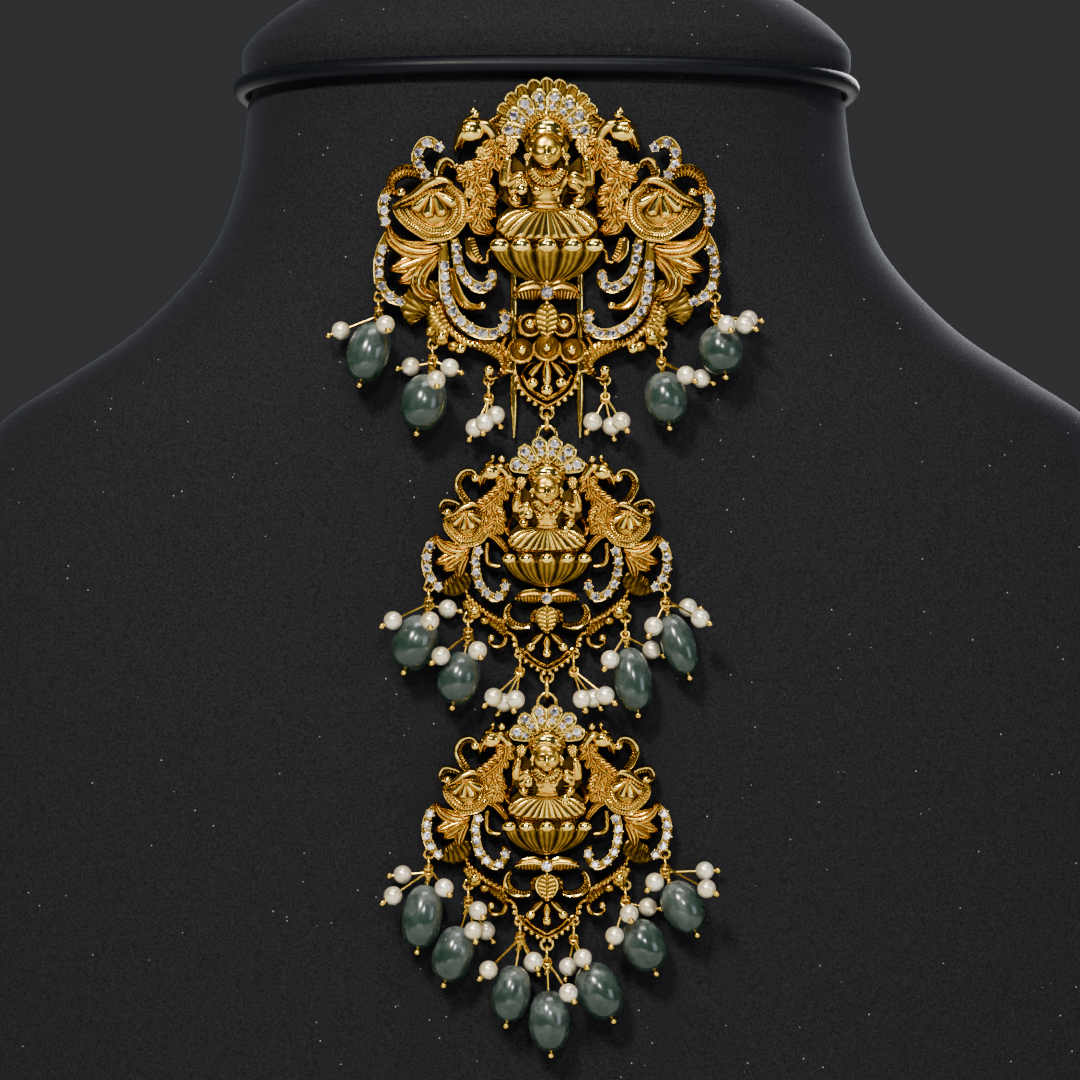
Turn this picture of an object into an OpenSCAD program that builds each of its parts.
// Three-tier braid ornament: cast openwork plaques with stones, pearls and oval beads, on a neck bust.
// Millimetres. X to the wearer's right as seen from the front, Z up, the front faces -Y.
// The origin is the centre of the bust's underside.

/* [Bust] */
// Height of the bust
bust_h = 246; // [236:1:300]
// Width across the shoulders
bust_w = 226; // [200:2:240]
// Depth from front to back
bust_d = 76; // [66:1:100]
// Thickness of the piping cord round the neck
piping_d = 3; // [2:0.2:4]

/* [Plaques] */
// Width of the large plaque
large_w = 55.4; // [50:0.2:60]
// Width of the two small plaques
small_w = 40.5; // [37:0.2:44]
// Thickness of the openwork plate
plate_t = 1.2; // [1:0.1:1.6]
// Height of the scrolls' relief above the plate
relief_t = 0.6; // [0.4:0.1:0.9]
// Distance from the bust's top down to the middle of the large plaque
hang_drop = 52.6; // [48:0.2:60]
// Diameter of the hair fork's wire
fork_wire = 1.3; // [1:0.1:1.6]
// Length of the hair fork's prongs
fork_len = 38; // [30:0.5:42]
// Distance between the prongs' centre lines at the bend
fork_span = 10.6; // [9:0.2:13]

/* [Links and drops] */
// Wire diameter of the jump rings between the plaques
link_wire = 0.7; // [0.6:0.05:0.9]
// Diameter of the first jump ring, to the wire's centre
link_1_d = 2.7; // [2.6:0.1:4]
// Diameter of the second jump ring, to the wire's centre
link_2_d = 3.3; // [2.6:0.1:4]
// Diameter of a drop's jump ring, to the wire's centre
ring_d = 2.9; // [2.6:0.1:3]
// Wire diameter of a drop's jump ring
ring_wire = 0.5; // [0.4:0.05:0.6]
// Wire diameter of a head pin
pin_wire = 0.36; // [0.3:0.02:0.4]
// Diameter of a head pin's eye, to the wire's centre
eye_d = 1.28; // [1.2:0.02:1.4]
// Diameter of the ball at the end of a head pin
ball_d = 1; // [0.8:0.1:1.2]
// Diameter of a pearl
pearl_d = 3; // [2.6:0.1:3.2]
// Clearance round a loose piece
gap = 0.1; // [0.06:0.01:0.12]

/* [Hidden] */
$fn = 48;
velvet_gap = 0.4;
fork_sunk = 0.2;
front_y = -bust_d / 2;
plate_y = front_y - velvet_gap - fork_wire + fork_sunk;
loop_y = plate_y - plate_t / 2;

// Neck bust: share of the height, of the half width, of the half depth.
BUST_ROWS = [
  [0, 0.845, 0.93], [0.012, 0.87, 0.95], [0.15, 0.95, 1], [0.35, 0.995, 1], [0.48, 1, 1], [0.56, 0.965, 1],
  [0.61, 0.92, 1], [0.652, 0.86, 1], [0.68, 0.807, 1], [0.706, 0.72, 1], [0.74, 0.61, 1], [0.79, 0.508, 1],
  [0.84, 0.464, 1], [0.874, 0.452, 1], [0.896, 0.448, 0.99]];
// Cap above the piping: share of the cap's height, of the neck's half width, of the neck's half depth.
CAP_ROWS = [[0, 0.99, 0.99], [0.2, 1, 1], [0.45, 0.9, 0.91], [0.68, 0.74, 0.76], [0.86, 0.52, 0.55], [1, 0.2, 0.22]];
seam_z = bust_h * 0.904;
neck_x = bust_w / 2 * 0.448;
neck_y = bust_d / 2 * 0.99;
piping_sunk = 0.6;
stone_z = plate_t + relief_t;
fork_taper = 6;
fork_bend = 0.13 * large_w;
section_n = 40;
square_power = 2.5;

// Tier places: each plaque's middle, top ring and bottom loop, worked out down the chain of links.
seam = 0.2;
loop_t = 0.6;
loop_hole = link_wire / 2 + 3 * gap;
loop_wall = 0.6;
top_ring_hole = small_w * 0.0285;
top_ring_wire = 0.66;
seat_gap = 1.2 * gap;
loop_drop_large = 0.485 * large_w;
loop_drop_small = 0.495 * small_w;
ring_rise = 0.458 * small_w;
plaque_1_z = bust_h - hang_drop;
loop_1_z = plaque_1_z - loop_drop_large;
function link_top(loop_z) = loop_z - loop_hole + link_wire / 2 + seat_gap;
function ring_under(loop_z, link_d) = link_top(loop_z) - link_d + link_wire / 2 + seat_gap - top_ring_hole;
plaque_2_z = ring_under(loop_1_z, link_1_d) - ring_rise;
loop_2_z = plaque_2_z - loop_drop_small;
plaque_3_z = ring_under(loop_2_z, link_2_d) - ring_rise;
loop_3_z = plaque_3_z - loop_drop_small;

// Bands of the openwork, one half of a plaque; the other half is its mirror image.
// Each row: name, points [out from the middle, up], widths [start, middle, end], all in percent of the width.
LARGE_BANDS = [
  ["hook", [[31.1, 28], [34.6, 29.5], [37, 26.4], [37, 22.9], [34.8, 19.5]], [2.4, 2.6, 2.6]],
  ["curl", [[31.6, 17.6], [31.2, 22.5], [28.6, 24.7], [26, 22.5]], [2, 2, 1.8]],
  ["ribbed scroll", [[35.4, 17], [38, 19.8], [41.4, 21], [45.1, 18.1], [44.5, 15], [41.8, 15.1]], [2, 2.6, 2]],
  ["outer arc", [[45.6, 16], [46.6, 13.3], [47.2, 9.8], [46.2, 5.4]], [2.2, 2.8, 2.2]],
  ["feather", [[46.4, 5.8], [41, 1.4], [35, -1.2], [30.4, -1]], [1.6, 4.2, 3.4]],
  ["lower arc", [[46, 3.4], [47.4, -1.7], [48.6, -6], [47.9, -11.8], [45.5, -15.2], [41, -17]], [1.6, 3, 2.6]],
  ["fan leaf", [[32.4, -2.6], [38, -6.4], [43, -9.4], [47.2, -10.6]], [2.6, 7, 2]],
  ["down leaf", [[30.6, -2.6], [33, -8.5], [36.3, -14.3]], [2.4, 5.4, 1.6]],
  ["back leaf", [[31, -12], [35.4, -16.4], [38.6, -21.6]], [6, 9.6, 4.2]],
  ["long curl", [[30, 1.4], [29.5, -8.9], [28.9, -15.2], [26, -21.5], [20.4, -25.5], [14.6, -25.8], [11.6, -22.7],
    [13.4, -19.8]], [2.8, 3.6, 2.4]],
  ["short curl", [[27.4, 2.6], [25.8, -4.3], [23.2, -10.8], [18.4, -12.8], [15.8, -10.6], [16.2, -7.6]], [2.6, 3, 2.2]],
  ["swoosh", [[27.6, -7], [26, -13.6], [22.3, -18.7], [18.6, -17.6]], [2.6, 2, 1.4]],
  ["rope", [[31.8, -15.9], [29, -23], [23, -28.2], [15, -29.2]], [2, 3.4, 3]],
  ["swirl", [[20.4, -28.6], [15.2, -29.4], [12.6, -32.6], [14, -36.2], [16.8, -36.3]], [2.2, 2.8, 2.4]],
  ["peacock", [[25.4, 28.6], [24.2, 31.6], [19.8, 33.4], [16.2, 30.2], [16.5, 24], [18.6, 18], [18.8, 11.6],
    [20.4, 4]], [3.6, 6.2, 4]],
  ["crest", [[24.4, 32.6], [24, 36], [20.6, 37.6]], [2.2, 2, 1.6]],
  ["side leg", [[24, 8], [19.4, 5], [15, 0]], [4, 3, 2.4]],
  ["elbow loop", [[19, 14], [16, 11.4], [14, 7]], [3, 2, 2]],
  ["side frame", [[13.2, 37.6], [17, 35], [20, 32.4]], [2.4, 2, 2.4]],
  ["C scroll", [[3.4, -26.4], [4.4, -19.8], [8.2, -20.6], [8, -25], [3.8, -28.4]], [1.6, 1.8, 1.6]],
  ["low C scroll", [[3.4, -27.6], [7.6, -26.4], [10.8, -29.6], [9.4, -33.6], [4.6, -33.2]], [1.6, 1.8, 1.6]],
  ["ball stem", [[7.2, -30.3], [9, -29.6], [10.8, -28.8]], [1.2, 1, 1.2]],
  ["drop", [[0.8, -33], [2.6, -35.6], [4.2, -39.4]], [1.2, 3, 2.6]],
  ["border", [[13.6, -36.4], [9.2, -36.9], [8, -41.6], [4.4, -45], [-0.6, -47.6]], [2.4, 2.6, 2.8]],
  ["inner border", [[7.8, -37.4], [5.4, -41.6], [-0.4, -45]], [1.4, 1.4, 1.4]],
  ["stem", [[11.4, -26], [12.6, -29], [12.4, -33]], [2, 2, 2]],
  ["leaf", [[-0.4, -13.9], [5, -13.4], [9.9, -14.8]], [3, 6.4, 1.6]]];
SMALL_BANDS = [
  ["heart hook", [[28.2, 29], [31.4, 31], [36, 26.4], [33.2, 20.6], [28, 17]], [2.6, 2.8, 2.8]],
  ["small hook", [[34.6, 18], [38.6, 20.6], [42.6, 18.6], [42.4, 15.4], [39.1, 15.2]], [2.2, 2.6, 2.2]],
  ["feather", [[45.6, 7.4], [40, 3], [34.6, 1], [29.4, 1]], [2, 4.4, 3.6]],
  ["outer arc", [[43.4, 6], [46.2, 2.4], [47.6, -4.4], [45.9, -10.8], [42, -15.4]], [2.6, 3.8, 3]],
  ["fan leaf", [[31, 0.4], [37.4, -3], [41.6, -5.2], [45.6, -6.4]], [2.6, 7, 2.4]],
  ["down leaf", [[30.9, -0.6], [32.6, -5], [34.6, -9.4]], [2.4, 4.8, 1.8]],
  ["back leaf", [[30.4, -8], [34.6, -13], [42.4, -15.6]], [4, 6, 2.6]],
  ["inner curl", [[28, 2], [28.2, -4.2], [27.6, -10], [24.2, -16.3], [19.4, -18.2], [16, -15.6], [16.8, -12.4]],
    [3.2, 3.8, 2.6]],
  ["ball stem", [[11, -25.3], [14, -25], [17, -24.6]], [1.6, 1.4, 1.6]],
  ["bar", [[24.4, 4], [24, -3.4], [21.4, -6], [17.6, -6.2]], [2.6, 2.6, 2.4]],
  ["rope", [[31.6, -12], [30.4, -18], [24, -24], [16, -28.8]], [2, 3.4, 3]],
  ["swirl", [[18.4, -27.4], [14.6, -30.6], [16, -35], [20.2, -34.9]], [2.2, 2.8, 2.4]],
  ["peacock", [[24.8, 27.6], [24, 31], [19.8, 33], [16.4, 29.8], [16.8, 23.6], [19, 17.4], [19.4, 11], [22, 4]],
    [4, 6.6, 4.2]],
  ["crest", [[21.6, 32.6], [20.6, 35.6], [17.8, 36.4]], [2.4, 2, 1.8]],
  ["wing bridge", [[24.6, 20], [26.6, 16.4], [27, 12]], [3, 3, 3]],
  ["side leg", [[24.6, 8], [19.6, 5], [15, -1]], [4, 3, 2.6]],
  ["elbow loop", [[19.4, 13.6], [16.4, 11], [14.6, 6]], [3, 2.2, 2.2]],
  ["side frame", [[11.6, 34.6], [15.6, 34], [19.6, 31.4]], [2.6, 2.2, 2.6]],
  ["C scroll", [[4.4, -33], [12, -30.6], [16.6, -25.3], [12.4, -19.8], [7.6, -21.2], [5, -26]], [1.8, 2.4, 1.8]],
  ["drop", [[1, -32], [3.6, -34.2], [6.4, -37.4]], [1.6, 3.4, 3.2]],
  ["border", [[16.6, -33.4], [13.2, -33.9], [10.4, -38], [5.4, -43.6], [-0.6, -48]], [2.4, 3, 3]],
  ["stem", [[5, -18], [11.4, -18.6], [18, -18]], [4, 3, 2.6]],
  ["leaf", [[-0.4, -18.6], [7, -17.8], [13.7, -19]], [3.4, 7, 2]]];

// Round stones: [out from the middle, up, radius], in percent of the width.
LARGE_STONES = [
  [31.1, 28, 1.0], [34.6, 29.2, 1.05], [36.9, 26.4, 1.05], [36.8, 22.9, 1.05], [35, 20.1, 1.0],
  [46.6, 13.1, 1.05], [47, 9.8, 1.0], [46.6, 6.6, 1.0],
  [47.2, -1.5, 1.05], [48.3, -4.8, 1.0], [48.4, -8.3, 1.0], [47.5, -12.1, 1.0], [45.3, -15, 1.05], [42.4, -16.5, 1.0],
  [29.5, -6.2, 1.05], [29.5, -9.3, 1.0], [29.2, -12.6, 1.15], [28.6, -16, 1.15], [27.1, -19.2, 1.15], [24.8, -22.1, 1.15],
  [21.9, -24.4, 1.15], [18.6, -25.8, 1.15], [15.2, -25.7, 1.0], [12.5, -24.1, 1.05], [12, -21.3, 1.0],
  [26.2, -1, 1.0], [25.8, -4.2, 1.05], [24.9, -7.5, 1.0], [22.9, -10.5, 1.0], [19.9, -12.3, 1.0], [17, -11.9, 1.0],
  [15.9, -9.2, 0.95]];
// Radiating petals behind the head: centre height, radius to the outer and to the inner stones, stone radii.
// Then the petals' angles on one half.
LARGE_AUREOLE = [31.6, 10.9, 8.1, 1.1, 0.8, [6, 30, 54, 78]];
SMALL_AUREOLE = [30, 12.5, 9, 1.3, 0.9, [19, 47, 76]];
AUREOLE_UP = 0;
AUREOLE_OUT = 1;
AUREOLE_IN = 2;
AUREOLE_OUT_R = 3;
AUREOLE_IN_R = 4;
AUREOLE_ANGLES = 5;
// Scalloped fan behind the large aureole: its height, radius, lobe radius, first angle and pitch.
LARGE_FAN = [32, 14.2, 2.05, 14, 15.2];
LARGE_LEAF_STONE = [0, -13.9, 1.7];
SMALL_LEAF_STONE = [0, -18.5, 1.9];

// Peacock wings: the round part's centre and radius, then the tip of its flame, in percent of the width.
LARGE_WING = [[31.8, 9.5], 9, [44.6, 10.5]];
SMALL_WING = [[30.9, 10.1], 8.6, [41.1, 12.3]];
// Half widths of the seated figure's skirt and of the lotus under it.
LARGE_SEAT = [14.9, 16.6];
SMALL_SEAT = [15.7, 17.9];
// The small plaques' figure and lotus sit this much lower.
SMALL_FIGURE_DROP = 1.4;
SMALL_LOTUS_DROP = 2.6;

// Cast balls: [out from the middle, up, radius], in percent of the width.
LARGE_BALLS = [[41.8, 15.1, 1.5], [20.6, 37.6, 1.4], [16.8, -36.3, 1.8], [10, 28.8, 2.1], [4.9, -22.9, 1.5],
  [7.2, -30.3, 1.4], [4.1, -39.6, 1.5], [26, 22.4, 1.2], [18.6, -17.6, 1.2]];
SMALL_BALLS = [[28.2, 28.8, 1.8], [39.1, 15.2, 1.8], [17.8, 36.4, 1.7], [20.4, -34.9, 2], [10.3, 27.1, 2.3],
  [11, -25.3, 1.9], [6.4, -37.3, 1.9], [5, -26, 1.2]];

// Eyelets that the drops hang in: [out from the middle, up], in percent of the width.
LARGE_EYELETS = [[48.5, -15], [33, -28.6], [16.8, -39]];
SMALL_EYELETS = [[46.6, -13.9], [31, -26.2], [10.6, -40.4]];
LARGE_LUG = [31, -26, 2.8];
SMALL_LUG = [28.8, -23.6, 3];
eyelet_hole = ring_wire / 2 + 3 * gap;
eyelet_wall = 0.4;
bezel = 3 * gap;

// Drops: tier, side (-1 left, 1 right, 0 middle), eyelet, oval bead or [], pearls.
// Each bead: [out, down] from the eyelet in millimetres, then in degrees its place round the jump ring, from the
// ring's lowest point towards the back, and its pin's tilt the same way. An oval bead adds its diameter and length.
DROPS = [
  [1, -1, 0, [-1.6, 9, -15, -13, 6.9, 9.9], [[-6.1, 5.4, 14, 0], [1.3, 4.8, -73, -60]]],
  [1, -1, 1, [-1.4, 9.5, -15, -14, 7.4, 9.2], [[-3.5, 3.6, 14, 0], [0.8, 6.1, -73, -60], [2.8, 3.9, -44, -34]]],
  [1, -1, 2, [], [[1.1, 5.6, 14, 0], [-2.2, 7.7, -15, -10], [-0.6, 7, -44, -35]]],
  [1, 1, 2, [], [[-2, 6.7, -15, -14], [1, 7.4, 14, 0], [2.5, 6.7, -44, -32]]],
  [1, 1, 1, [0.7, 8.8, -15, -13, 7, 8.6], [[3.8, 5.2, -50, -52], [6.4, 5.5, 14, 0]]],
  [1, 1, 0, [0.9, 8.6, -15, -15, 7.2, 8], [[1.6, 4.8, -73, -60], [4.6, 4.6, -44, -42], [5.4, 3.6, 14, 0]]],
  [2, -1, 0, [-2.2, 9, -15, -15, 7.2, 9.1], [[-5.6, 5.4, -45, -46], [0.4, 5.4, -75, -62], [3, 3.6, 14, 0]]],
  [2, -1, 1, [-1.5, 9.7, -15, -12, 6.9, 8.5], [[-4.3, 6, -46, -46], [1.6, 5.1, -76, -60]]],
  [2, -1, 2, [], [[-4.2, 6.9, -15, -28], [-0.7, 7.2, -44, -34], [-2.6, 7.9, 14, 0]]],
  [2, 1, 2, [], [[1.3, 7.2, -15, -28], [3.1, 7.2, 14, 0], [5, 6.6, -44, -34]]],
  [2, 1, 1, [1.1, 9.9, -15, -12, 6.2, 10.4], [[-2.5, 6.6, -44, -38], [4.2, 5.2, 14, 0]]],
  [2, 1, 0, [2.1, 9.3, -15, -12, 5.5, 10.1], [[-1.9, 6.3, -44, -36], [3.7, 3.4, 14, 0], [5.4, 5, -73, -60]]],
  [3, -1, 0, [-1, 9.9, -15, -12, 6.6, 10.2], [[-4.2, 3.4, 14, 0], [-5.6, 6.4, -44, -34], [2.6, 4.9, -73, -60]]],
  [3, -1, 1, [-2.4, 10.9, -15, -11, 6.6, 9.1], [[1.6, 3.7, -73, -62], [0.9, 6.9, -44, -38], [2.8, 7.4, 14, 0]]],
  [3, -1, 2, [-1.4, 11.4, -15, -13, 6.3, 9.1], [[-5, 7.4, -44, -34], [2, 6.8, 14, 0], [2.2, 5.6, -73, -62]]],
  [3, 0, 0, [0.4, 12, -15, -10, 6.8, 9.7], [[3.4, 7, -50, -50]]],
  [3, 1, 2, [4, 11, -15, -13, 7.1, 9.4], [[1.4, 5.5, -48, -48], [-0.9, 7.4, 14, 0]]],
  [3, 1, 1, [2.9, 9.5, -15, -14, 7, 8.6], [[0.5, 4.1, -73, -62], [3.6, 3.6, 14, 0], [-1.8, 7.7, -44, -34]]],
  [3, 1, 0, [2.8, 8.4, -15, -14, 6.6, 8.8], [[-1.7, 4.3, -46, -46], [6.4, 2.8, 14, 0], [6.4, 5, -75, -61]]]];
TIER = 0;
SIDE = 1;
EYELET = 2;
OVAL = 3;
PEARLS = 4;
OUT = 0;
DOWN = 1;
PLACE = 2;
TILT = 3;
OVAL_D = 4;
OVAL_LEN = 5;
drops_n = len(DROPS);
OVAL_DROPS = [for (k = [0 : drops_n - 1]) if (len(DROPS[k][OVAL]) > 0) k];

plaque_names = ["plaque_1", "plaque_2", "plaque_3"];
wire_names = [for (k = [1 : drops_n]) str("drop_wires_", k)];
oval_names = [for (k = OVAL_DROPS) str("oval_bead_", k + 1)];

// Curve through points, rounded by a cubic between each two.
function blend(a, b, c, d, t) =
  (2 * b + (c - a) * t + (2 * a - 5 * b + 4 * c - d) * t * t + (3 * b - a - 3 * c + d) * t * t * t) / 2;
function curve(p, n) = let (m = len(p) - 1) concat(
  [for (i = [0 : m - 1]) for (k = [0 : n - 1])
    blend(p[max(i - 1, 0)], p[i], p[i + 1], p[min(i + 2, m)], k / n)], [p[m]]);
function across(c, i) = let (m = len(c) - 1, t = c[min(i + 1, m)] - c[max(i - 1, 0)]) [-t[1], t[0]] / norm(t);
function band_w(w, t) = (1 - t) * (1 - t) * w[0] + 2 * t * (1 - t) * (2 * w[1] - (w[0] + w[2]) / 2) + t * t * w[2];

module ribbon(p, w, n = 3) {
  c = curve(p, n);
  m = len(c) - 1;
  polygon(concat(
    [for (i = [0 : m]) c[i] + across(c, i) * band_w(w, i / m) / 2],
    [for (i = [m : -1 : 0]) c[i] - across(c, i) * band_w(w, i / m) / 2]));
}

module both_sides() {
  children();
  mirror([1, 0]) children();
}

module mirrored() {
  children();
  mirror([1, 0, 0]) children();
}

// A layer of relief, from one height above the plate's back to another.
module layer(z0, z1) {
  translate([0, 0, z0]) linear_extrude(z1 - z0) children();
}

// A shape that is its own mirror image, from the points of its right half.
module symmetric(p) {
  polygon(concat(p, [for (i = [len(p) - 1 : -1 : 0]) if (p[i][0] > 0) [-p[i][0], p[i][1]]]));
}

// A path with both ends drawn in by a share of their stretch, so that a raised band ends inside its plate.
function drawn_in(p, by) = let (m = len(p) - 1) concat([p[0] + (p[1] - p[0]) * by],
  [for (i = [1 : 1 : m - 1]) p[i]], [p[m] + (p[m - 1] - p[m]) * by]);

module bands(rows, s, share) {
  for (r = rows) ribbon(drawn_in(r[1], (1 - share) * 0.3) * s, r[2] * share * s);
}

module at_each(rows, s) {
  for (r = rows) translate([r[0], r[1]] * s) children();
}

module discs(rows, s, grow = 0) {
  for (r = rows) translate([r[0], r[1]] * s) circle(r = r[2] * s + grow);
}

// A teardrop petal that points away from the middle of the head.
module petal(r_in, r_out, half) {
  ribbon([[r_in, 0], [(r_in + r_out) / 2, 0], [r_out, 0]], [half * 0.9, half * 1.3, half * 1.8]);
  translate([r_out, 0]) circle(r = half);
}

module petals(a, s, half) {
  translate([0, a[AUREOLE_UP] * s]) for (t = a[AUREOLE_ANGLES])
    rotate(t) petal(a[AUREOLE_IN] * 0.6 * s, a[AUREOLE_OUT] * s, half * s);
}

module petal_places(a, s) {
  translate([0, a[AUREOLE_UP] * s]) for (t = a[AUREOLE_ANGLES]) rotate(t) {
    translate([a[AUREOLE_OUT] * s, 0]) children(0);
    translate([a[AUREOLE_IN] * s, 0]) children(1);
  }
}

module upright_leaf(top, bottom, half, s) {
  ribbon([[0, top], [0, (top * 2 + bottom) / 3], [0, (top + bottom * 2) / 3], [0, bottom]] * s,
    [half, half * 2, half * 0.4] * s);
}

// Seated figure, drawn round its own seat line: backing, then the raised parts.
module figure_back(s, wide) {
  symmetric([[0, 37], [1.8, 37], [3.6, 31.4], [6.4, 22.6], [11.4, 27.4], [13.4, 25.6], [13.8, 14], [10.8, 11],
    [wide, 7.4], [wide, 2.4], [12.4, 0.2], [0, 0.2]] * s);
}

module lotus_back(s, wide) {
  symmetric([[0, 4], [wide * 0.6, 3.6], [wide + 1, 1.3], [wide - 1.4, -5], [wide * 0.5, -10], [0, -11]] * s);
}

module figure_low(s, wide) {
  symmetric([[0, 9.6], [6, 9.4], [wide - 1.4, 6.2], [wide - 0.6, 3.4], [12, 1], [0, 1.2]] * s);
  both_sides() {
    ribbon([[3.6, 20], [8.4, 18.4], [12.6, 16]] * s, [3.2, 2.8, 2.6] * s);
    ribbon([[11.9, 15.4], [12, 20.4], [10.6, 26.6]] * s, [2.4, 2.2, 2] * s);
    ribbon([[10.8, 15], [9.6, 12.6], [6.6, 13.4]] * s, [2, 1.8, 2.6] * s);
    translate([10, 28.4] * s) circle(r = 2.3 * s);
    translate([5.4, 25.4] * s) circle(r = 1.3 * s);
  }
}

module figure_mid(s, wide) {
  symmetric([[0, 22.4], [2.2, 22.4], [5.4, 20.4], [4.4, 16.6], [3.4, 13.4], [5.4, 11.4], [4.8, 8.8], [0, 8.4]] * s);
  symmetric([[0, 39], [1, 39], [1.8, 36.8], [3.2, 35], [3.1, 33.2], [4.3, 32], [4.1, 30], [0, 29.6]] * s);
  both_sides() ribbon([[wide - 2.6, 5.6], [wide * 0.62, 6.6], [wide * 0.34, 4.4], [2.6, 3]] * s, [3, 4, 2.6] * s);
}

module pleats(s) {
  for (k = [-2 : 2]) translate([0, 12 * s]) rotate(14 * k) ribbon([[0, -4.4], [0, -8], [0, -11.2]] * s,
    [0.8, 1.4, 1.8] * s);
}

module lotus_petals(s) {
  for (k = [-2 : 2]) translate([0, -16 * s]) rotate(-15.6 * k)
    ribbon([[0, 6], [0, 10.6], [0, 14.6], [0, 17.2 + 0.3 * abs(k)]] * s, [2, 5.2, 1] * s);
}

// Hanging loops are thinner than the plate, so that a jump ring clears them.
module loop_ring(hole, wall) {
  layer(plate_t / 2 - loop_t / 2, plate_t / 2 + loop_t / 2) difference() {
    circle(r = hole + wall);
    circle(r = hole);
  }
}

module loops(eyelets, s, low) {
  mirrored() for (e = eyelets) translate([e[0] * s, e[1] * s, 0]) loop_ring(eyelet_hole, eyelet_wall);
  translate([0, -low, 0]) loop_ring(loop_hole, loop_wall);
}

module loop_clearance(eyelets, s, low) {
  both_sides() at_each(eyelets, s) circle(r = eyelet_hole + eyelet_wall - seam);
  translate([0, -low]) circle(r = loop_hole + loop_wall - seam);
}

module leaf_stone_clearance(leaf_stone, s) {
  translate([0, leaf_stone[1] * s]) circle(r = leaf_stone[2] * s + gap);
}

module dome(c, r, rise, s) {
  ball_r = (r * r * s * s + rise * rise) / (2 * rise);
  translate([c[0] * s, c[1] * s, plate_t]) intersection() {
    translate([0, 0, rise - ball_r]) sphere(r = ball_r);
    translate([-2 * r * s, -2 * r * s, -0.3]) cube([4 * r * s, 4 * r * s, rise + 1]);
  }
}

module balls(rows, s) {
  for (b = rows) translate([b[0] * s, b[1] * s, plate_t + 0.07]) sphere(r = b[2] * s * 0.9);
}

module wing_back(wing, s) {
  c = wing[0];
  r = wing[1];
  translate(c * s) circle(r = r * s);
  ribbon([c + [r * 0.3, r * 0.5], c + [r, r * 0.3], wing[2]] * s, [r * 0.9, r * 0.8, 1.4] * s);
}

module wing_rings(wing, s) {
  r = wing[1];
  translate(wing[0] * s) {
    difference() {
      circle(r = (r - 0.3) * s);
      circle(r = (r - 2.1) * s);
    }
    difference() {
      circle(r = (r - 3) * s);
      circle(r = (r - 4.2) * s);
    }
  }
}

// Two-prong hair fork, soldered to the back of the large plaque.
module fork() {
  r = fork_wire / 2;
  translate([0, fork_bend, fork_sunk - r]) {
    rotate_extrude(angle = 180) translate([fork_span / 2, 0]) circle(r = r);
    for (side = [-1, 1]) translate([side * fork_span / 2, 0, 0]) rotate([90, 0, 0]) {
      cylinder(r = r, h = fork_len - fork_taper);
      translate([0, 0, fork_len - fork_taper]) cylinder(r1 = r, r2 = r * 0.3, h = fork_taper);
    }
  }
}

module plaque_1() color("goldenrod") translate([0, plate_y, plaque_1_z]) rotate([90, 0, 0]) {
  s = large_w / 100;
  layer(0, plate_t) difference() {
    union() {
      both_sides() {
        bands(LARGE_BANDS, s, 1);
        discs(LARGE_BALLS, s);
        discs([LARGE_LUG], s);
        translate([0, LARGE_FAN[0] * s]) for (k = [0 : 4]) rotate(LARGE_FAN[3] + LARGE_FAN[4] * k)
          translate([LARGE_FAN[1] * s, 0]) circle(r = LARGE_FAN[2] * s);
        wing_back(LARGE_WING, s);
      }
      translate([0, LARGE_FAN[0] * s]) {
        circle(r = LARGE_FAN[1] * s);
        translate([0, LARGE_FAN[1] * s]) circle(r = LARGE_FAN[2] * s);
      }
      figure_back(s, LARGE_SEAT[0]);
      lotus_back(s, LARGE_SEAT[1]);
      upright_leaf(-9.6, -27.6, 3.4, s);
      translate([0, -28.9 * s]) circle(r = 3.4 * s);
      upright_leaf(-31, -43.6, 1.7, s);
    }
    loop_clearance(LARGE_EYELETS, s, loop_drop_large);
  }
  layer(plate_t - seam, stone_z) difference() {
    both_sides() {
      bands(LARGE_BANDS, s, 0.8);
      wing_rings(LARGE_WING, s);
    }
    both_sides() discs(LARGE_STONES, s, gap);
    leaf_stone_clearance(LARGE_LEAF_STONE, s);
    loop_clearance(LARGE_EYELETS, s, loop_drop_large);
  }
  layer(plate_t - 1.2 * seam, stone_z) difference() {
    union() {
      both_sides() petals(LARGE_AUREOLE, s, LARGE_AUREOLE[AUREOLE_OUT_R] + 0.5);
      translate([0, LARGE_LEAF_STONE[1] * s]) circle(r = LARGE_LEAF_STONE[2] * s + bezel);
    }
    both_sides() petal_places(LARGE_AUREOLE, s) {
      circle(r = LARGE_AUREOLE[AUREOLE_OUT_R] * s + gap);
      circle(r = LARGE_AUREOLE[AUREOLE_IN_R] * s + gap);
    }
    leaf_stone_clearance(LARGE_LEAF_STONE, s);
  }
  layer(plate_t - 1.4 * seam, plate_t + 1.3 * relief_t) {
    figure_low(s, LARGE_SEAT[0]);
    upright_leaf(-17.6, -26.6, 2.7, s);
    lotus_petals(s);
  }
  layer(plate_t - 1.6 * seam, plate_t + 2 * relief_t) figure_mid(s, LARGE_SEAT[0]);
  layer(plate_t - 1.8 * seam, plate_t + 2.3 * relief_t) pleats(s);
  translate([0, 26.2 * s, plate_t + 1.2 * s]) sphere(r = 3.9 * s);
  mirrored() {
    dome(LARGE_WING[0], 4.4, 0.03 * large_w, s);
    balls(LARGE_BALLS, s);
  }
  loops(LARGE_EYELETS, s, loop_drop_large);
  fork();
}

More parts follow.
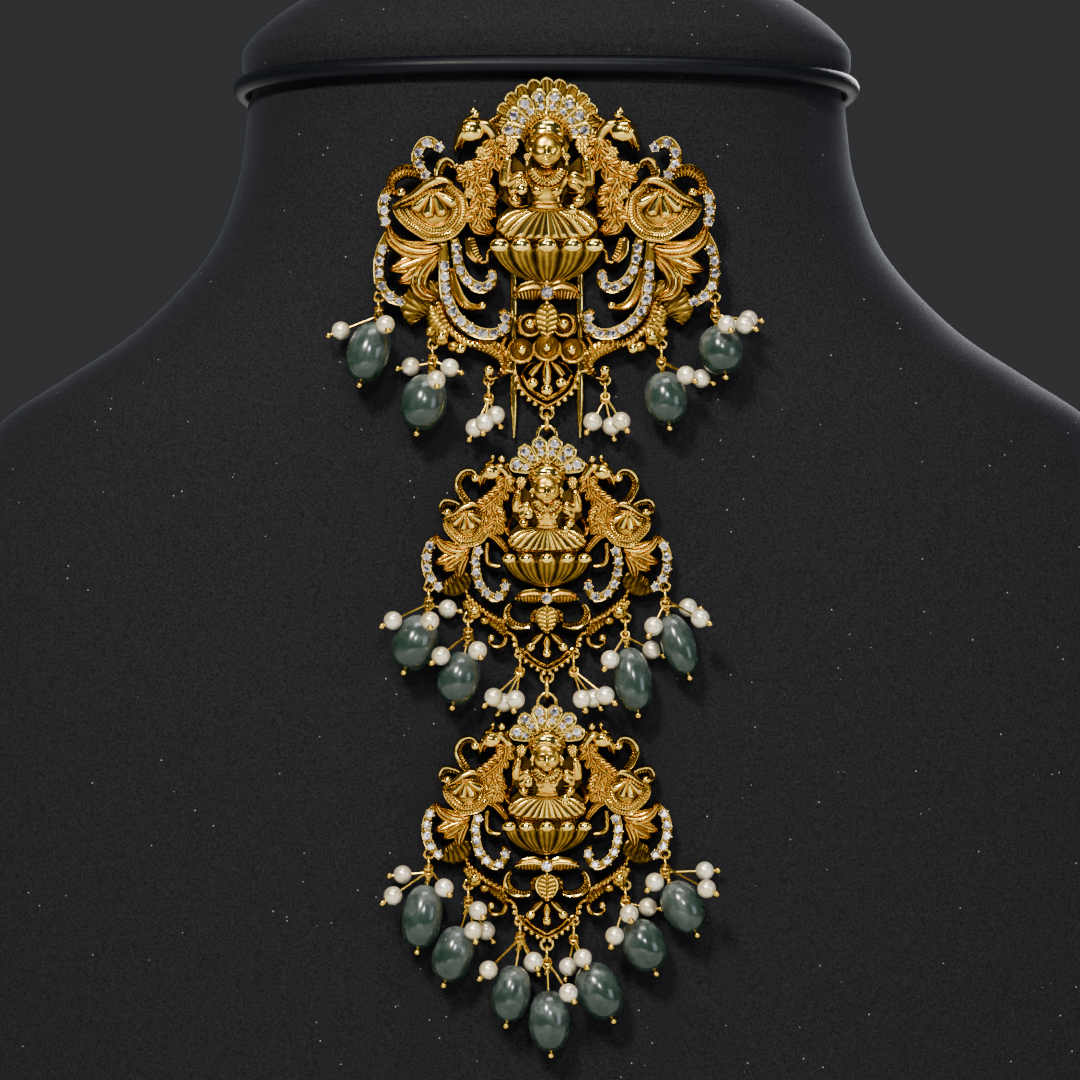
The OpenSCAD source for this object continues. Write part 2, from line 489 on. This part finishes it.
module small_plaque(z) color("goldenrod") translate([0, plate_y, z]) rotate([90, 0, 0]) {
  s = small_w / 100;
  layer(0, plate_t) difference() {
    union() {
      both_sides() {
        bands(SMALL_BANDS, s, 1);
        discs(SMALL_BALLS, s);
        discs([SMALL_LUG], s);
        petals(SMALL_AUREOLE, s, SMALL_AUREOLE[AUREOLE_OUT_R] + 1);
        wing_back(SMALL_WING, s);
      }
      translate([0, 27 * s]) circle(r = 8.4 * s);
      translate([0, -SMALL_FIGURE_DROP * s]) figure_back(s, SMALL_SEAT[0]);
      translate([0, -SMALL_LOTUS_DROP * s]) lotus_back(s, SMALL_SEAT[1]);
      upright_leaf(-12.6, -32.8, 4.2, s);
      upright_leaf(-31.6, -45, 1.9, s);
    }
    loop_clearance(SMALL_EYELETS, s, loop_drop_small);
    translate([0, ring_rise]) circle(r = top_ring_hole + 0.4 * top_ring_wire);
  }
  layer(plate_t - seam, stone_z) difference() {
    both_sides() {
      bands(SMALL_BANDS, s, 0.76);
      wing_rings(SMALL_WING, s);
    }
    leaf_stone_clearance(SMALL_LEAF_STONE, s);
    loop_clearance(SMALL_EYELETS, s, loop_drop_small);
  }
  layer(plate_t - 1.2 * seam, stone_z) {
    both_sides() petals(SMALL_AUREOLE, s, SMALL_AUREOLE[AUREOLE_OUT_R] + 0.4);
    difference() {
      translate([0, SMALL_LEAF_STONE[1] * s]) circle(r = SMALL_LEAF_STONE[2] * s + bezel);
      leaf_stone_clearance(SMALL_LEAF_STONE, s);
    }
  }
  layer(plate_t - 1.4 * seam, plate_t + 1.3 * relief_t) {
    translate([0, -SMALL_FIGURE_DROP * s]) figure_low(s, SMALL_SEAT[0]);
    upright_leaf(-22, -31.6, 3.4, s);
    translate([0, -SMALL_LOTUS_DROP * s]) lotus_petals(s);
  }
  layer(plate_t - 1.6 * seam, plate_t + 2 * relief_t)
    translate([0, -SMALL_FIGURE_DROP * s]) figure_mid(s, SMALL_SEAT[0]);
  layer(plate_t - 1.8 * seam, plate_t + 2.3 * relief_t) translate([0, -SMALL_FIGURE_DROP * s]) pleats(s);
  translate([0, 24.8 * s, plate_t + 1.2 * s]) sphere(r = 3.9 * s);
  mirrored() {
    dome(SMALL_WING[0], 4.1, 0.03 * small_w, s);
    balls(SMALL_BALLS, s);
  }
  loops(SMALL_EYELETS, s, loop_drop_small);
  translate([0, ring_rise, plate_t / 2]) rotate_extrude() translate([top_ring_hole + top_ring_wire / 2, 0])
    circle(r = top_ring_wire / 2);
}

// Round brilliant: a flat table, eight crown facets and eight below, its girdle at zero.
module stone(r) {
  n = 8;
  rings = [for (row = [[0.56, 0.34], [1, 0.04], [1, -0.04], [0.06, -0.56]])
    [for (k = [0 : n - 1]) [row[0] * r * cos(360 * k / n), row[0] * r * sin(360 * k / n), row[1] * r]]];
  pts = [for (q = rings) for (p = q) p];
  polyhedron(pts, concat([[for (k = [0 : n - 1]) n - 1 - k]], [[for (k = [0 : n - 1]) 3 * n + k]],
    [for (j = [0 : 2]) for (k = [0 : n - 1]) [j * n + k, j * n + (k + 1) % n, (j + 1) * n + (k + 1) % n,
      (j + 1) * n + k]]));
}

module on_plaque(z) {
  translate([0, plate_y, z]) rotate([90, 0, 0]) translate([0, 0, stone_z]) children();
}

module stones_1() color("aliceblue") on_plaque(plaque_1_z) {
  s = large_w / 100;
  for (side = [-1, 1]) {
    for (r = LARGE_STONES) translate([side * r[0], r[1], 0] * s) stone(r[2] * s);
    for (t = LARGE_AUREOLE[AUREOLE_ANGLES]) translate([0, LARGE_AUREOLE[AUREOLE_UP] * s, 0]) {
      translate([side * cos(t), sin(t), 0] * LARGE_AUREOLE[AUREOLE_OUT] * s) stone(LARGE_AUREOLE[AUREOLE_OUT_R] * s);
      translate([side * cos(t), sin(t), 0] * LARGE_AUREOLE[AUREOLE_IN] * s) stone(LARGE_AUREOLE[AUREOLE_IN_R] * s);
    }
  }
  translate([0, LARGE_LEAF_STONE[1] * s, 0]) stone(LARGE_LEAF_STONE[2] * s);
}

module small_stones(z) color("aliceblue") on_plaque(z)
  translate([0, SMALL_LEAF_STONE[1] * small_w / 100, 0]) stone(SMALL_LEAF_STONE[2] * small_w / 100);

// Superellipse of the bust at one height.
function section(x, y, z) = [for (k = [0 : section_n - 1]) let (a = 360 * k / section_n)
  [x * sign(cos(a)) * pow(abs(cos(a)), 2 / square_power), y * sign(sin(a)) * pow(abs(sin(a)), 2 / square_power), z]];

module loft(rings) {
  n = section_n;
  m = len(rings) - 1;
  pts = [for (q = rings) for (p = q) p];
  polyhedron(pts, concat([[for (k = [0 : n - 1]) k]], [[for (k = [0 : n - 1]) (m + 1) * n - 1 - k]],
    [for (j = [0 : m - 1]) for (k = [0 : n - 1]) [j * n + (k + 1) % n, j * n + k, (j + 1) * n + k,
      (j + 1) * n + (k + 1) % n]]));
}

module bust() color("dimgray") difference() {
  cap_z = seam_z + piping_d * 0.55;
  cap_h = bust_h - cap_z;
  loft(concat(
    [for (r = BUST_ROWS) section(bust_w / 2 * r[1], bust_d / 2 * r[2], bust_h * r[0])],
    [section(neck_x - piping_sunk, neck_y - piping_sunk, seam_z - piping_d * 0.5),
     section(neck_x - piping_sunk, neck_y - piping_sunk, seam_z + piping_d * 0.5)],
    [for (r = CAP_ROWS) section((neck_x + 1) * r[1], (neck_y + 1) * r[2], cap_z + cap_h * r[0])]));
  translate([0, front_y - 1, pin_z]) rotate([-90, 0, 0]) cylinder(r = pin_d / 2 + gap, h = pin_in + 1);
}

// Hidden pin that the fork's bend hangs over.
pin_d = 2;
pin_in = 18;
pin_out = velvet_gap + fork_wire - fork_sunk - 0.15;
pin_z = plaque_1_z + fork_bend + fork_span / 2 - fork_wire / 2 - pin_d / 2 - gap;
module display_pin() color("silver") translate([0, front_y - pin_out, pin_z]) rotate([-90, 0, 0])
  cylinder(r = pin_d / 2, h = pin_out + pin_in - gap);

piping_sides = 10;
module bust_piping() color("black") {
  n = section_n;
  r = piping_d / 2;
  mid = section(neck_x - piping_sunk + gap + r, neck_y - piping_sunk + gap + r, seam_z);
  pts = [for (k = [0 : n - 1]) let (t = mid[(k + 1) % n] - mid[(k + n - 1) % n], u = [t[1], -t[0], 0] / norm(t))
    for (j = [0 : piping_sides - 1]) let (a = 360 * j / piping_sides) mid[k] + u * r * cos(a) + [0, 0, r * sin(a)]];
  m = piping_sides;
  polyhedron(pts, [for (k = [0 : n - 1]) for (j = [0 : m - 1])
    [k * m + j, ((k + 1) % n) * m + j, ((k + 1) % n) * m + (j + 1) % m, k * m + (j + 1) % m]]);
}

module link(loop_z, d) color("gold") translate([0, loop_y, link_top(loop_z) - d / 2]) rotate([0, 90, 0])
  rotate_extrude() translate([d / 2, 0]) circle(r = link_wire / 2, $fn = 24);

// Places of a drop's parts, worked out from its eyelet.
tier_z = [plaque_1_z, plaque_2_z, plaque_3_z];
function tier_w(t) = t == 1 ? large_w : small_w;
function eyelets_of(t) = t == 1 ? LARGE_EYELETS : SMALL_EYELETS;
function hole_of(d) = d[SIDE] == 0
  ? [0, loop_y, loop_3_z - loop_hole + eyelet_hole]
  : [d[SIDE] * eyelets_of(d[TIER])[d[EYELET]][0] * tier_w(d[TIER]) / 100, loop_y,
     tier_z[d[TIER] - 1] + eyelets_of(d[TIER])[d[EYELET]][1] * tier_w(d[TIER]) / 100];
function ring_of(d) = hole_of(d) - [0, 0, eyelet_hole - ring_wire / 2 - seat_gap + ring_d / 2];
function wire_point(place) = [0, sin(place), -cos(place)] * ring_d / 2;
// How far below the ring's wire a bead hangs, along its tilted pin; then the pin's turn and length.
function pin_reach(d, b) = (b[DOWN] - (hole_of(d) - ring_of(d) - wire_point(b[PLACE]))[2]) / cos(b[TILT]);
function pin_turn(d, b) = atan2(b[OUT], pin_reach(d, b));
function pin_len(d, b) = norm([b[OUT], pin_reach(d, b)]);
eye_in = eye_d / 2 - pin_wire / 2 - ring_wire / 2 - 1.3 * gap;

// Children are drawn with the ring's wire at the origin and the pin running down -Z.
module at_pin(d, b) {
  translate(ring_of(d) + wire_point(b[PLACE])) rotate([b[TILT], 0, 0]) rotate([0, -pin_turn(d, b), 0]) children();
}

module at_bead(d, b) {
  at_pin(d, b) translate([0, 0, -pin_len(d, b)]) children();
}

module head_pin(len_in, half) {
  r = pin_wire / 2;
  end = len_in + half + gap;
  shaft = end + ball_d * 0.4 - eye_in - eye_d / 2 - 0.04;
  translate([0, 0, -eye_in]) rotate([90, 0, 0]) rotate_extrude() translate([eye_d / 2, 0]) circle(r = r, $fn = 24);
  translate([0, 0, -end - ball_d * 0.4]) cylinder(r = r, h = shaft);
  translate([0, 0, -end - ball_d / 2]) sphere(r = ball_d / 2);
}

module drop_wires(k) color("gold") {
  d = DROPS[k];
  translate(ring_of(d)) rotate([0, 90, 0]) rotate_extrude() translate([ring_d / 2, 0])
    circle(r = ring_wire / 2, $fn = 24);
  for (b = d[PEARLS]) at_pin(d, b) head_pin(pin_len(d, b), pearl_d / 2);
  if (len(d[OVAL]) > 0) at_pin(d, d[OVAL]) head_pin(pin_len(d, d[OVAL]), d[OVAL][OVAL_LEN] / 2);
}

module oval_bead(k) color("darkseagreen") {
  d = DROPS[k];
  b = d[OVAL];
  bore = pin_wire / 2 + gap;
  rise = b[OVAL_LEN] / 2;
  mouth = b[OVAL_D] * 0.14;
  at_bead(d, b) rotate_extrude() polygon(concat([[bore, -rise], [mouth, -rise]],
    [for (t = [-60 : 15 : 60]) [b[OVAL_D] / 2 * pow(cos(t), 0.82), rise * sin(t) * 1.02]],
    [[mouth, rise], [bore, rise]]));
}

module pearls(tier) color("ivory") for (d = DROPS) if (d[TIER] == tier) for (b = d[PEARLS])
  at_bead(d, b) difference() {
    sphere(r = pearl_d / 2);
    cylinder(r = pin_wire / 2 + gap, h = pearl_d + 1, center = true);
  }

bust();
bust_piping();
display_pin();
plaque_1();
small_plaque(plaque_2_z);  // plaque_2
small_plaque(plaque_3_z);  // plaque_3
stones_1();
small_stones(plaque_2_z);  // stones_2
small_stones(plaque_3_z);  // stones_3
link(loop_1_z, link_1_d);  // link_1
link(loop_2_z, link_2_d);  // link_2
for (k = [0 : drops_n - 1]) drop_wires(k);
for (k = [0 : len(OVAL_DROPS) - 1]) oval_bead(OVAL_DROPS[k]);
for (t = [1 : 3]) pearls(t);
